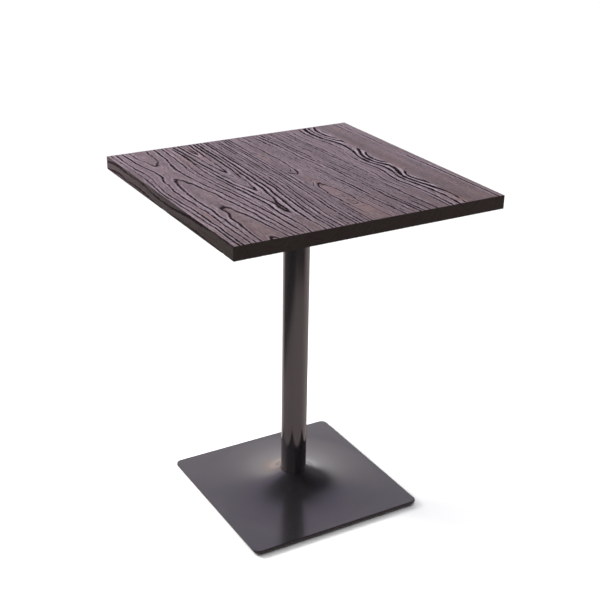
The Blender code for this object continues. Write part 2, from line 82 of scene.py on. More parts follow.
# M12 tie rod with its nuts and washers
ROD_RADIUS = 0.006
ROD_PITCH = 0.00175
ROD_THREAD = 0.045  # length of the thread at each end
ROD_BORE = ROD_RADIUS + GAP
NUT_FLATS = 0.018
NUT_CHAMFER = 0.0012
WASHER_RADIUS = 0.012
SPRING_WASHER_RADIUS = 0.009
WASHER_SPLIT = math.radians(16)  # gap in a spring washer

# Wood screws, spider to top
SCREW_RADIUS = 0.00275
SCREW_PITCH = 0.0024
SCREW_POINT = 0.005
SCREW_HEAD_RADIUS = 0.0055
SCREW_HEAD = 0.0034

# M6 countersunk screws, ballast plate to hub
HUB_SCREW_RADIUS = 0.003
HUB_SCREW_PITCH = 0.001
HUB_SCREW_HEAD_RADIUS = 0.006

# M8 levelling glides
STUD_RADIUS = 0.004
STUD_PITCH = 0.00125
STUD_HEAD_RADIUS = 0.008
STUD_HEAD = 0.0013
STUD_BORE = STUD_RADIUS + GAP
BARREL_RADIUS = 0.0062
FLANGE_RADIUS = 0.0095
FLANGE = 0.0014
PAD_RADIUS = 0.014
PAD_CUP_RADIUS = 0.0101
PAD_HOLE = 0.0032  # radius of the hole that shows the stud's socket
PAD_LIP = 0.0006  # thickness of the lip over the stud's head, and its overlap

# Camera at the photograph's angle
CAMERA_PLACE = Vector((1.9921, -1.1520, 1.4954))
CAMERA_TARGET = Vector((0.0046, 0.0079, 0.4684))
CAMERA_ROLL = 0.0161
CAMERA_LENS = 70.10

# Directions of the studio: from the table to the camera, and to the camera's right
TOWARD_CAMERA = Vector((0.866, -0.5, 0))
TO_THE_RIGHT = Vector((0.5, 0.866, 0))


# Node trees


class Nodes:
    """Short ways to add nodes to a material or a world.

    Several sockets of a mix node have the same name, so they are picked by number.
    """

    def __init__(self, owner):
        owner.use_nodes = True
        self.tree = owner.node_tree
        self.tree.nodes.clear()

    def add(self, kind, inputs=None, **settings):
        node = self.tree.nodes.new(kind)
        for name, value in settings.items():
            setattr(node, name, value)
        for name, value in (inputs or {}).items():
            self.feed(node.inputs[name], value)
        return node

    def feed(self, socket, value):
        """A socket takes another node's output, or a plain value."""
        if isinstance(value, bpy.types.NodeSocket):
            self.tree.links.new(value, socket)
        else:
            socket.default_value = value

    def maths(self, operation, *values, clamp=False):
        node = self.add("ShaderNodeMath", operation=operation, use_clamp=clamp)
        for socket, value in zip(node.inputs, values):
            self.feed(socket, value)
        return node.outputs[0]

    def times(self, one, other, clamp=False):
        return self.maths("MULTIPLY", one, other, clamp=clamp)

    def vector(self, operation, *values):
        node = self.add("ShaderNodeVectorMath", operation=operation)
        for socket, value in zip(node.inputs, values):
            self.feed(socket, value)
        return node.outputs["Value" if operation == "DOT_PRODUCT" else "Vector"]

    def mix(self, share, one, other):
        """A colour between one and other."""
        node = self.add("ShaderNodeMix", data_type="RGBA")
        self.feed(node.inputs[0], share)
        self.feed(node.inputs[6], one)
        self.feed(node.inputs[7], other)
        return node.outputs[2]

    def blend(self, share, one, other):
        """A number between one and other."""
        node = self.add("ShaderNodeMix", data_type="FLOAT")
        self.feed(node.inputs[0], share)
        self.feed(node.inputs[2], one)
        self.feed(node.inputs[3], other)
        return node.outputs[0]

    def spread(self, value, low, high, to_low=0.0, to_high=1.0, smooth=False):
        """value from low..high to to_low..to_high, held at both ends."""
        node = self.add(
            "ShaderNodeMapRange",
            interpolation_type="SMOOTHSTEP" if smooth else "LINEAR",
            clamp=True,
        )
        for socket, number in zip(node.inputs, (value, low, high, to_low, to_high)):
            self.feed(socket, number)
        return node.outputs[0]

    def bell(self, value):
        """1 where value is 0, falling away on both sides."""
        return self.maths("EXPONENT", self.times(self.times(value, value), -1.0))

    def noise(self, vector, scale=1.0, detail=2.0, roughness=0.5):
        node = self.add(
            "ShaderNodeTexNoise",
            {"Vector": vector, "Scale": scale, "Detail": detail, "Roughness": roughness},
        )
        return node.outputs["Fac"]

    def stretched(self, x=1, y=1, z=1):
        """Object coordinates, scaled along each axis."""
        place = self.add("ShaderNodeTexCoord").outputs["Object"]
        return self.vector("MULTIPLY", place, (x, y, z))

    def split(self, vector):
        return self.add("ShaderNodeSeparateXYZ", {"Vector": vector}).outputs

    def bump(self, height, distance, strength):
        node = self.add("ShaderNodeBump", {"Height": height, "Strength": strength, "Distance": distance})
        return node.outputs["Normal"]

    def surface(self, **sockets):
        """A Principled shader on the output. Names use _ for a space."""
        shader = self.add("ShaderNodeBsdfPrincipled")
        for name, value in sockets.items():
            self.feed(shader.inputs[name.replace("_", " ")], value)
        self.add("ShaderNodeOutputMaterial", {"Surface": shader.outputs[0]})


def new_material(name):
    """An empty material, and a way to add nodes to it."""
    made = bpy.data.materials.new(name)
    return made, Nodes(made)


def rgb(red, green, blue):
    return (red, green, blue, 1.0)


# Materials


def gunmetal(name, smoothest, roughest):
    """Gunmetal plating: soft mottling, and a polish that varies between two roughnesses."""
    made, nodes = new_material(name)
    cloud = nodes.noise(nodes.stretched(), 9.0, 3.0)
    fine = nodes.noise(nodes.stretched(), 900.0)
    polish = nodes.spread(cloud, 0.3, 0.7, smoothest, roughest)
    nodes.surface(
        Base_Color=nodes.mix(cloud, rgb(0.118, 0.108, 0.118), rgb(0.150, 0.138, 0.148)),
        Metallic=0.88,
        Roughness=nodes.maths("ADD", polish, nodes.spread(fine, 0.3, 0.7, 0.0, 0.02)),
        Normal=nodes.bump(fine, 0.00002, 0.5),
    )
    return made


def off_line(nodes, rings, slope, ragged, waver):
    """Distance to the nearest line, where rings is a whole number. Its edge wavers raggedly."""
    off = nodes.maths("DIVIDE", nodes.maths("SUBTRACT", rings, nodes.maths("ROUND", rings)), slope)
    return nodes.maths("ADD", off, nodes.spread(ragged, 0.2, 0.8, -waver, waver))


def ridge(nodes, share, place, strength):
    """Pale ridges on both sides of a line: a painted highlight, where the edges of a groove would catch
    the light.

    share is how far off the line a point is, and place how far the ridges are, in half widths of
    the line.
    """
    beside = nodes.maths("SUBTRACT", nodes.maths("ABSOLUTE", share), place)
    return nodes.times(nodes.bell(beside), strength)


def grain_lines(nodes, rings, slope, strength, fine):
    """How dark the wood's lines are, and how strong the painted highlight on the ridges beside them."""
    ragged = nodes.noise(nodes.stretched(260, 600, 600))
    dashes = nodes.noise(nodes.stretched(330, 90, 90))

    # Main lines
    wide = nodes.maths("ADD", LINE_WIDTH, nodes.times(strength, LINE_GROWTH))
    wide = nodes.maths("ADD", wide, nodes.maths("DIVIDE", LINE_SLACK, slope))
    share = nodes.maths("DIVIDE", off_line(nodes, rings, slope, ragged, 0.0007), wide)
    dark = nodes.times(nodes.bell(share), strength)
    dark = nodes.times(dark, nodes.spread(dashes, 0.36, 0.54, 0.45, 1.15))
    # Painted highlight on the ridges beside the main lines
    ridge_highlight = ridge(nodes, share, 2.0, strength)

    # Fine lines between them. Distances come out tripled
    thirds = nodes.times(rings, 3.0)
    share = nodes.maths("DIVIDE", off_line(nodes, thirds, slope, ragged, 0.0012), 3 * FINE_WIDTH)
    dark = nodes.maths("MAXIMUM", dark, nodes.times(nodes.bell(share), fine))
    ridge_highlight = nodes.maths("MAXIMUM", ridge_highlight, ridge(nodes, share, 1.8, fine))

    # Where the growth rings lie almost flat, there is no painted highlight on the ridges
    return dark, nodes.times(ridge_highlight, nodes.spread(slope, 20.0, 75.0))


def top_share_with_edge_shade(nodes, facing_z, x, y):
    """1 on the top's upper face, and 0 along its edges, on the steep walls of its grooves and on every
    other side. Along the edges and on the groove walls, the dark side colour that this lets in is
    painted shade.
    """
    out = nodes.maths("MAXIMUM", nodes.maths("ABSOLUTE", x), nodes.maths("ABSOLUTE", y))
    inside = nodes.maths("SUBTRACT", TOP_HIGH.x, out)
    edge_shade_inset = 0.0022
    # Painted shade: faces that tilt away from up, on the eased edges and the groove walls, get the dark
    # side colour
    upward = nodes.spread(facing_z, 0.72, 0.96)
    return nodes.times(upward, nodes.spread(inside, ARRIS, edge_shade_inset))


def stained_wood():
    """Brushed, dark-stained wood. Its lines come from the grain that each board's mesh carries."""
    made, nodes = new_material("stained_wood_brushed")
    grain = nodes.add("ShaderNodeAttribute", attribute_name="grain").outputs["Vector"]
    rings, slope, strength = nodes.split(grain)
    detail = nodes.add("ShaderNodeAttribute", attribute_name="detail").outputs["Vector"]
    fine, tone, streak = nodes.split(detail)
    x, y, _ = nodes.split(nodes.stretched())
    dark, ridge_highlight = grain_lines(nodes, rings, slope, strength, fine)

    # Fibres and pores: short streaks that follow the lines
    along = nodes.times(x, 60.0)
    across = nodes.times(rings, 9.0)
    fibre = nodes.add("ShaderNodeCombineXYZ", {"X": along, "Y": across, "Z": y}).outputs[0]
    fibres = nodes.noise(fibre, 1.0, 3.0, 0.65)
    pores = nodes.spread(nodes.noise(fibre, 2.2, 2.0, 0.6), 0.54, 0.70)

    # Broad changes of colour: reddish clouds, and darker bands along the grain
    clouds = nodes.spread(nodes.noise(nodes.stretched(5, 14, 14)), 0.52, 0.74, 0.0, 0.7)
    bands = nodes.spread(nodes.noise(nodes.stretched(5, 45, 45)), 0.25, 0.75, -0.25, 0.25)

    # The upper face. Its pale colour is partly the stain and partly painted sheen, put in the colour in
    # place of the lacquer's reflection, which the low IOR keeps faint
    pale = nodes.mix(tone, rgb(0.250, 0.179, 0.232), rgb(0.178, 0.118, 0.130))
    deep = nodes.mix(tone, rgb(0.110, 0.070, 0.097), rgb(0.105, 0.060, 0.066))
    paleness = nodes.spread(nodes.maths("ADD", fibres, bands), 0.27, 0.73)
    face = nodes.mix(paleness, deep, pale)
    face = nodes.mix(clouds, face, rgb(0.23, 0.126, 0.122))
    face = nodes.mix(streak, face, rgb(0.065, 0.045, 0.058))
    # Painted highlight: a pale colour on the ridges beside the lines
    face = nodes.mix(nodes.times(ridge_highlight, 0.75, clamp=True), face, rgb(0.46, 0.36, 0.44))
    face = nodes.mix(nodes.times(pores, 0.85), face, rgb(0.03, 0.012, 0.018))

    # Sides and underside keep only a trace of the upper face's colour, with its painted sheen and
    # highlight. The eased edges and the steep groove walls take the dark side colour as painted shade.
    # End grain drinks more stain
    facing = nodes.add("ShaderNodeNewGeometry").outputs["Normal"]
    facing_x, _, facing_z = nodes.split(facing)
    end_grain = nodes.spread(nodes.maths("ABSOLUTE", facing_x), 0.5, 0.85)
    side = nodes.mix(0.93, face, rgb(0.006, 0.005, 0.005))
    stump = nodes.mix(fibres, rgb(0.048, 0.031, 0.028), rgb(0.021, 0.017, 0.016))
    wood = nodes.mix(top_share_with_edge_shade(nodes, facing_z, x, y), nodes.mix(end_grain, side, stump), face)

    raised = nodes.times(fibres, 0.25)
    sunk = nodes.maths("ADD", dark, pores)
    line = nodes.times(dark, 1.8, clamp=True)
    nodes.surface(
        Base_Color=nodes.mix(line, wood, rgb(0.006, 0.002, 0.003)),
        Roughness=nodes.spread(dark, 0.0, 0.8, 0.45, 0.9),
        IOR=1.24,
        Normal=nodes.bump(nodes.maths("SUBTRACT", raised, sunk), 0.0005, 0.8),
    )
    return made


def cast_iron():
    """Black paint over sand-cast iron: pebbled, and thin on the raised grains."""
    made, nodes = new_material("black_cast_iron")
    sand = nodes.noise(nodes.stretched(), 700.0, 3.0, 0.6)
    cloud = nodes.noise(nodes.stretched(), 45.0)
    paint = nodes.mix(cloud, rgb(0.016, 0.016, 0.017), rgb(0.032, 0.031, 0.032))
    nodes.surface(
        Base_Color=nodes.mix(nodes.spread(sand, 0.62, 0.80), paint, rgb(0.070, 0.066, 0.064)),
        Roughness=nodes.spread(cloud, 0.3, 0.7, 0.48, 0.66),
        Normal=nodes.bump(sand, 0.0003, 0.7),
    )
    return made


def painted_plate():
    """Black paint rolled onto a flat plate, with a few scuffs."""
    made, nodes = new_material("black_plate")
    peel = nodes.noise(nodes.stretched(), 420.0)
    scuffs = nodes.noise(nodes.stretched(14, 90, 14), 1.0, 4.0, 0.7)
    worn = nodes.spread(scuffs, 0.64, 0.74)
    nodes.surface(
        Base_Color=nodes.mix(worn, rgb(0.020, 0.020, 0.021), rgb(0.065, 0.063, 0.062)),
        Roughness=nodes.spread(worn, 0.0, 1.0, 0.42, 0.62),
        Normal=nodes.bump(peel, 0.00008, 0.5),
    )
    return made


def zinc():
    """Bright zinc plating with fine turning marks and a faint bloom."""
    made, nodes = new_material("zinc_plating")
    marks = nodes.noise(nodes.stretched(300, 300, 4500))
    bloom = nodes.noise(nodes.stretched(), 160.0, 3.0)
    nodes.surface(
        Base_Color=nodes.mix(bloom, rgb(0.44, 0.45, 0.48), rgb(0.62, 0.61, 0.58)),
        Metallic=1.0,
        Roughness=nodes.spread(bloom, 0.3, 0.7, 0.24, 0.42),
        Normal=nodes.bump(marks, 0.00004, 0.5),
    )
    return made


def nylon():
    """Black moulded nylon with a fine spark-eroded texture."""
    made, nodes = new_material("black_nylon")
    pits = nodes.noise(nodes.stretched(), 1400.0)
    nodes.surface(
        Base_Color=nodes.mix(pits, rgb(0.012, 0.012, 0.013), rgb(0.024, 0.024, 0.025)),
        Roughness=nodes.spread(pits, 0.3, 0.7, 0.42, 0.56),
        Normal=nodes.bump(pits, 0.0001, 0.5),
    )
    return made


# Meshes


def piece(name, data, body, node):
    """A finished piece that rides on a body and stands for a CAD node."""
    made = bpy.data.objects.new(name, data)
    bpy.context.scene.collection.objects.link(made)
    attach(made, body)
    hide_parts(node)


def loft(rows, closed=False):
    """Solid through rows of points. If closed, the last row joins the first; others get caps."""
    shape = bmesh.new()
    rings = [[shape.verts.new(point) for point in row] for row in rows]
    pairs = list(zip(rings, rings[1:]))
    if closed:
        pairs.append((rings[-1], rings[0]))
    else:
        shape.faces.new(rings[0])
        shape.faces.new(rings[-1])
    for one, other in pairs:
        for i in range(len(one)):
            j = (i + 1) % len(one)
            shape.faces.new((one[i], one[j], other[j], other[i]))
    bmesh.ops.recalc_face_normals(shape, faces=shape.faces)
    return shape


def polar(radius, angle, z):
    return Vector((radius * math.cos(angle), radius * math.sin(angle), z))


def ring(z, reach, sides=36):
    """A level ring of points. reach is its radius, or a function from an angle to a radius."""
    points = []
    for i in range(sides):
        angle = math.tau * i / sides
        points.append(polar(reach(angle) if callable(reach) else reach, angle, z))
    return points


def hexagon(flats):
    """Radius of a hexagon at an angle."""
    def reach(angle):
        off_flat = (angle + math.pi / 6) % (math.pi / 3) - math.pi / 6
        return flats / 2 / math.cos(off_flat)

    return reach


def threads(radius, pitch, low, high, point=0.0):
    """Rings along a screw thread. It runs in at both ends, and over a length of point to a tip."""
    depth = 0.55 * pitch
    end_depth = 0.6  # share of that depth at both ends
    core = 0.15  # share of the radius that a point keeps
    blunt = 0.0004
    steps_per_turn = 8
    steps = round((high - low) / pitch * steps_per_turn)
    rings = []
    for i in range(steps + 1):
        z = low + (high - low) * i / steps
        turns_to_end = min(z - low, high - z) / pitch
        full = radius * min(1, (high - z + blunt) / point) if point else radius
        sunk = depth * min(1, turns_to_end + end_depth)

        def reach(angle):
            turn = (z / pitch - angle / math.tau) % 1
            return max(full - sunk * abs(2 * turn - 1), core * full)

        rings.append(ring(z, reach))
    return rings


def rounded(profile, radius):
    """A closed outline of (radius, z) points with its corners rounded off."""
    points = [Vector(point) for point in profile]
    soft = []
    for before, corner, after in zip(points[-1:] + points, points, points[1:] + points[:1]):
        back, on = before - corner, after - corner
        cut = min(radius, 0.45 * back.length, 0.45 * on.length)
        one, other = corner + cut * back.normalized(), corner + cut * on.normalized()
        soft += [one, (one + 2 * corner + other) / 4, other]
    return soft


def turned(profile, radius, sides=64):
    """Solid turned about Z from a closed outline, with its corners rounded off."""
    return loft([ring(z, reach, sides) for reach, z in rounded(profile, radius)], closed=True)


def mesh_of(name, shape, finish, angle=40):
    data = bpy.data.meshes.new(name)
    shape.to_mesh(data)
    shape.free()
    data.materials.append(finish)
    data.shade_smooth()
    data.set_sharp_from_angle(angle=math.radians(angle))
    return data


# Top boards

# Each board's heart says where the middle of the tree ran, as (place along X, place along Y, depth
# under the face). ring is the width of a year's growth, first the size of the first ring drawn,
# power how pointed its arches are, and wander how far the lines stray. strength says how strong
# the lines are near the first ring and past the third, steady how unbroken they are, and fine how
# strong the fine lines are between them. tone is how brown the board is. streak, if any, is a dark
# band along the board: its place along Y, width and darkness
BOARDS = {
    "top_board_1": dict(
        heart=(
            (-0.31, -0.229, 0.0385), (-0.19, -0.229, 0.0448), (-0.13, -0.231, 0.0476),
            (-0.0755, -0.232, 0.0452), (-0.02, -0.231, 0.0402), (0.112, -0.222, 0.0345),
            (0.251, -0.217, 0.024), (0.31, -0.215, 0.019),
        ),
        ring=0.0105, first=0.0450, power=1.85, wander=0.0024,
        strength=(1.05, 0.95), steady=0.22, fine=0.35, tone=0.45,
    ),
    "top_board_2": dict(
        heart=(
            (-0.31, -0.122, 0.0065), (-0.245, -0.122, 0.0099), (-0.072, -0.123, 0.0186),
            (0.042, -0.121, 0.0273), (0.158, -0.1245, 0.036), (0.22, -0.126, 0.0385),
            (0.31, -0.127, 0.037),
        ),
        ring=0.0087, first=0.0360, power=1.45, wander=0.0020,
        strength=(1.35, 0.85), steady=0.20, fine=0.60, tone=0.2,
    ),
    "top_board_3": dict(
        heart=(
            (-0.31, -0.014, 0.043), (-0.06, 0.000, 0.046), (0.0, 0.006, 0.0502),
            (0.035, 0.008, 0.0515), (0.072, 0.008, 0.0500), (0.12, 0.009, 0.0470),
            (0.31, 0.018, 0.0460),
        ),
        ring=0.0092, first=0.0500, power=1.8, wander=0.0026,
        strength=(0.85, 1.05), steady=-0.02, fine=1.00, tone=0.35,
    ),
    "top_board_4": dict(
        heart=(
            (-0.31, 0.235, 0.036), (-0.245, 0.235, 0.009), (-0.165, 0.235, 0.039),
            (-0.09, 0.235, 0.036), (-0.032, 0.235, 0.008), (0.03, 0.235, 0.034),
            (0.075, 0.235, 0.028), (0.112, 0.235, 0.009), (0.155, 0.235, 0.026),
            (0.21, 0.235, 0.037), (0.31, 0.235, 0.035),
        ),
        ring=0.0115, first=0.0450, power=2.0, wander=0.0015,
        strength=(2.3, 0.60), steady=0.0, fine=0.55, tone=0.3,
    ),
    "top_board_5": dict(
        heart=((-0.31, 0.196, 0.030), (0.0, 0.200, 0.034), (0.31, 0.204, 0.030)),
        ring=0.0165, first=0.0403, power=2.0, wander=0.0020,
        strength=(0.20, 1.20), steady=-0.12, fine=0.20, tone=0.5, streak=(0.236, 0.016, 0.45),
    ),
}
LUMP_TABLE = np.random.default_rng(7).random(4096) * 2 - 1


def lumps(points, size, seed):
    """Smooth noise from -1 to 1 at each point. size is the length of a lump along X, Y and Z."""
    place = points / np.array(size) + 17.3 * seed
    cell = np.floor(place).astype(np.int64)
    part = place - cell
    part = part * part * (3 - 2 * part)
    total = 0.0
    for corner in np.ndindex(2, 2, 2):
        x, y, z = (cell + corner).T
        # A fixed random value for each corner of a cell
        key = (x * 73856093) ^ (y * 19349663) ^ (z * 83492791)
        share = np.prod(np.where(corner, part, 1 - part), axis=1)
        total += share * LUMP_TABLE[(key ^ (key >> 13)) % len(LUMP_TABLE)]
    return total


def curve(x, stops):
    """Smooth line through stops: each is a place along X, and the values there."""
    at, *values = np.array(stops).T
    i = np.clip(np.searchsorted(at, x) - 1, 0, len(at) - 2)
    span = at[i + 1] - at[i]
    t = (x - at[i]) / span
    smooth = []
    for value in values:
        slope = np.gradient(value, at)
        ends = value[i] * (1 + 2 * t) * (1 - t) ** 2 + value[i + 1] * t * t * (3 - 2 * t)
        smooth.append(ends + span * (slope[i] * t * (1 - t) ** 2 - slope[i + 1] * t * t * (1 - t)))
    return smooth


def ring_number(points, board):
    """How many years from the first ring each point is. Whole numbers are the dark lines."""
    x, y, z = points.T
    middle, depth = curve(x, board["heart"])
    wander = board["wander"]

    # Each board has its own place in the noise
    away = points + [40 * board["ring"], 70 * board["first"], 0]
    depth = depth - z + 0.5 * wander * lumps(away, (0.06, 0.05, 0.05), 1)
    bend = wander * lumps(away, (0.075, 0.040, 0.03), 2)
    bend += 0.45 * wander * lumps(away, (0.028, 0.014, 0.02), 3)
    bend += 0.20 * wander * lumps(away, (0.010, 0.005, 0.005), 4)
    power = board["power"]
    radius = (np.abs(y - middle) ** power + np.abs(depth) ** power) ** (1 / power)
    rings = (radius + bend - board["first"]) / board["ring"]

    # Some years are wider than others
    return rings + 0.16 * np.sin(2.4 * rings) * np.clip(np.abs(rings) - 0.5, 0, 1)


def along_lines(points, lines, board, spacing):
    """A place for lumps() that changes along each line, and jumps from one line to the next."""
    spot = np.zeros_like(points)
    spot[:, 0] = points[:, 0]
    spot[:, 1] = spacing * np.round(lines) + 50 * board["first"]
    return spot


def line_strength(points, rings, board):
    """How deep and dark a line is at each point. 1 is a plain line."""
    # whole is one strength for each line, and slow and fast change along it
    spot = along_lines(points, rings, board, 0.37)
    whole = 0.5 + 0.5 * lumps(spot, (0.5, 0.3, 1), 5)
    slow = 0.5 + 0.5 * lumps(spot, (0.085, 0.3, 1), 6)
    fast = lumps(spot, (0.020, 0.3, 1), 7) + 1.3 * lumps(spot, (0.0075, 0.3, 1), 8)
    near, far = board["strength"]
    share = np.clip((rings - 1) / 2, 0, 1)
    present = board["steady"] + 0.55 * whole + 1.0 * slow**2 + 0.25 * fast
    return (near + (far - near) * share) * np.clip(present, 0, 1)


def fine_strength(points, rings, board):
    """The same for the two fine lines between each pair of main ones."""
    spot = along_lines(points, 3 * rings, board, 0.41)
    slow = lumps(spot, (0.060, 0.3, 1), 9)
    fast = lumps(spot, (0.012, 0.3, 1), 10)
    return board["fine"] * np.clip(0.50 + 1.1 * slow + 0.5 * fast, 0, 1.3)


def stations(low, high, step):
    """Places from low to high, with more of them in the rounded arris at each end."""
    rounding = ARRIS * np.array([0, 0.12, 0.35, 0.65])
    count = round((high - low - 2 * ARRIS) / step)
    middle = np.linspace(low + ARRIS, high - ARRIS, count + 1)
    return np.concatenate([low + rounding, middle, (high - rounding)[::-1]])


def surface_grid(xs, ys, zs):
    """Points and faces of a closed box with a grid on every side."""
    hidden = np.zeros((len(xs), len(ys), len(zs)), bool)
    hidden[1:-1, 1:-1, 1:-1] = True
    number = np.cumsum(~hidden).reshape(hidden.shape) - 1
    points = np.stack(np.meshgrid(xs, ys, zs, indexing="ij"), -1)[~hidden]
    faces = []
    for axis in range(3):
        for end in (0, -1):
            sheet = np.take(number, end, axis)
            quads = np.stack([sheet[:-1, :-1], sheet[1:, :-1], sheet[1:, 1:], sheet[:-1, 1:]], -1)
            quads = quads.reshape(-1, 4)
            # Every face looks outward
            if (end == 0) != (axis == 1):
                quads = quads[:, ::-1]
            faces.append(quads)
    return points, np.concatenate(faces)


def board_block(low, high, round_low, round_high):
    """Points, normals and faces of a board. Its edges along a glue joint stay square."""
    points, faces = surface_grid(*(stations(*span) for span in zip(low, high, BOARD_STEPS)))

    # A point's direction from the inner box is its normal. On a glued side it is zero
    inner_low = low + ARRIS * np.array([1, round_low, 1])
    inner_high = high - ARRIS * np.array([1, round_high, 1])
    inner = np.clip(points, inner_low, inner_high)
    out = points - inner
    length = np.linalg.norm(out, axis=1, keepdims=True)
    normals = out / np.maximum(length, 1e-9)
    return inner + normals * ARRIS * (length > 1e-7), normals, faces


def ring_slope(points, normals, rings, board):
    """How many years a metre of the board's surface crosses, at each point."""
    step = 0.0004
    slopes = [(ring_number(points + step * axis, board) - rings) / step for axis in np.eye(3)]
    slopes = np.stack(slopes, -1)
    slopes -= normals * np.sum(slopes * normals, axis=1, keepdims=True)
    at_least = 4  # the shader divides by the slope
    return np.linalg.norm(slopes, axis=1) + at_least


def groove_depth(rings, slope, strength, fine):
    """How deep the brush cut at each point. 1 is GROOVE_DEPTH."""
    off = (rings - np.round(rings)) / slope
    wide = LINE_WIDTH + LINE_GROWTH * strength + LINE_SLACK / slope
    deepest, fine_share = 1.3, 0.5
    main = np.minimum(strength, deepest) * np.exp(-((off / wide) ** 2))
    fine_off = (3 * rings - np.round(3 * rings)) / (3 * slope)
    return np.maximum(main, fine_share * fine * np.exp(-((fine_off / FINE_WIDTH) ** 2)))


def carry(data, name, *columns):
    """Let each point of a mesh carry three numbers for the shader."""
    attribute = data.attributes.new(name, "FLOAT_VECTOR", "POINT")
    attribute.data.foreach_set("vector", np.stack(columns, -1).ravel())


def build_board(name, finish):
    """One board: rounded outer edges, and brushed grooves along its grain."""
    board = BOARDS[name]
    low, high = (np.array(corner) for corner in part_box(name))
    outer_low = np.isclose(low[1], TOP_LOW.y)
    outer_high = np.isclose(high[1], TOP_HIGH.y)
    low[1] -= 0 if outer_low else GLUE_REACH
    high[1] += 0 if outer_high else GLUE_REACH
    points, normals, faces = board_block(low, high, outer_low, outer_high)

    # The grain is counted down from the top's upper face
    local = points - [0, 0, high[2]]
    rings = ring_number(local, board)
    slope = ring_slope(local, normals, rings, board)

    # The brush hardly marks end grain. Fine lines fade where the rings crowd
    side_grain = 1 - 0.85 * np.abs(normals[:, 0])
    strength = side_grain * line_strength(local, rings, board)
    fine = side_grain * fine_strength(local, rings, board)
    fine *= np.clip((260 - slope) / 160, 0.25, 1)
    depth = groove_depth(rings, slope, strength, fine)[:, None]
    points = points - normals * GROOVE_DEPTH * depth

    # The board is browner towards +X
    x, y, _ = points.T
    tone = board["tone"] + 0.7 * np.clip((x - 0.06) / 0.22, 0, 1)
    middle, width, darkness = board.get("streak", (0, 1, 0))
    streak = darkness * np.exp(-(((y - middle) / width) ** 2))

    data = bpy.data.meshes.new(name + "_brushed")
    data.from_pydata(points.tolist(), [], faces.tolist())
    data.materials.append(finish)
    carry(data, "grain", rings, slope, strength)
    carry(data, "detail", fine, tone, streak)
    data.shade_smooth()
    data.set_sharp_from_angle(angle=math.radians(60))
    piece(name + "_brushed", data, "table", name)


# Column


def build_column(finish):
    """The tube, with broken edges at both ends."""
    inner, outer = COLUMN_RADIUS - COLUMN_WALL, COLUMN_RADIUS
    low, high = COLUMN_LOW.z, COLUMN_HIGH.z
    edge = 0.0003
    profile = [
        (inner, low + edge), (inner + edge, low), (outer - edge, low), (outer, low + edge),
        (outer, high - edge), (outer - edge, high), (inner + edge, high), (inner, high - edge),
    ]
    rows = [ring(z, radius, sides=128) for radius, z in profile]
    piece("column", mesh_of("column", loft(rows, closed=True), finish), "table", "column_tube")


# Foot


def square_radius(angle, half, corner):
    """Distance from the middle of a rounded square to its outline, at a polar angle."""
    quarter = math.pi / 2
    off_side = abs((angle + quarter / 2) % quarter - quarter / 2)
    straight = half - corner
    if half * math.tan(off_side) <= straight:
        return half / math.cos(off_side)
    along = straight * (math.cos(off_side) + math.sin(off_side))
    return along + math.sqrt(along**2 - 2 * straight**2 + corner**2)


def foot_angles():
    """Polar angles around the foot: even steps along each side, and finer ones at the corners."""
    half = COVER_HIGH.x
    tangent = math.atan2(half - FOOT_CORNER, half)
    corner_span = math.pi / 2 - 2 * tangent
    side_steps, corner_steps = 40, 10
    angles = []
    for quarter in range(4):
        middle = quarter * math.pi / 2
        for i in range(side_steps):
            angles.append(middle - tangent + 2 * tangent * i / side_steps)
        for i in range(corner_steps):
            angles.append(middle + tangent + corner_span * i / corner_steps)
    return angles


def outline(half, corner, z):
    """Points around a level rounded square, at the angles of foot_angles()."""
    return [polar(square_radius(angle, half, corner), angle, z) for angle in foot_angles()]


def flare_height(radius):
    """Height of the cover's outer face: a ledge at the column, then a trumpet-shaped flare."""
    neck = COVER_HIGH.z
    start = COLUMN_RADIUS + LEDGE
    if radius <= start:
        return neck
    if radius >= FLARE_END:
        return COVER_LEVEL
    last = math.exp(-(FLARE_END - start) / FLARE)
    share = (math.exp(-(radius - start) / FLARE) - last) / (1 - last)
    return COVER_LEVEL + (neck - COVER_LEVEL) * share


def flare_row(share, drop):
    """Points around the cover, at a share of the way from its ledge to its outer bend.

    They are round near the column and square near the rim. drop is how much of the sheet lies
    above them, measured across it.
    """
    start = COLUMN_RADIUS + LEDGE
    inset = 2 * SHEET
    step = 0.0005
    points = []
    for angle in foot_angles():
        edge = square_radius(angle, COVER_HIGH.x - inset, FOOT_CORNER - inset)
        radius = start + (FLARE_END - start) * share + (edge - FLARE_END) * share**4
        slope = (flare_height(radius + step) - flare_height(radius - step)) / (2 * step)
        height = flare_height(radius) - drop * math.sqrt(1 + slope**2)
        points.append(polar(radius, angle, height))
    return points


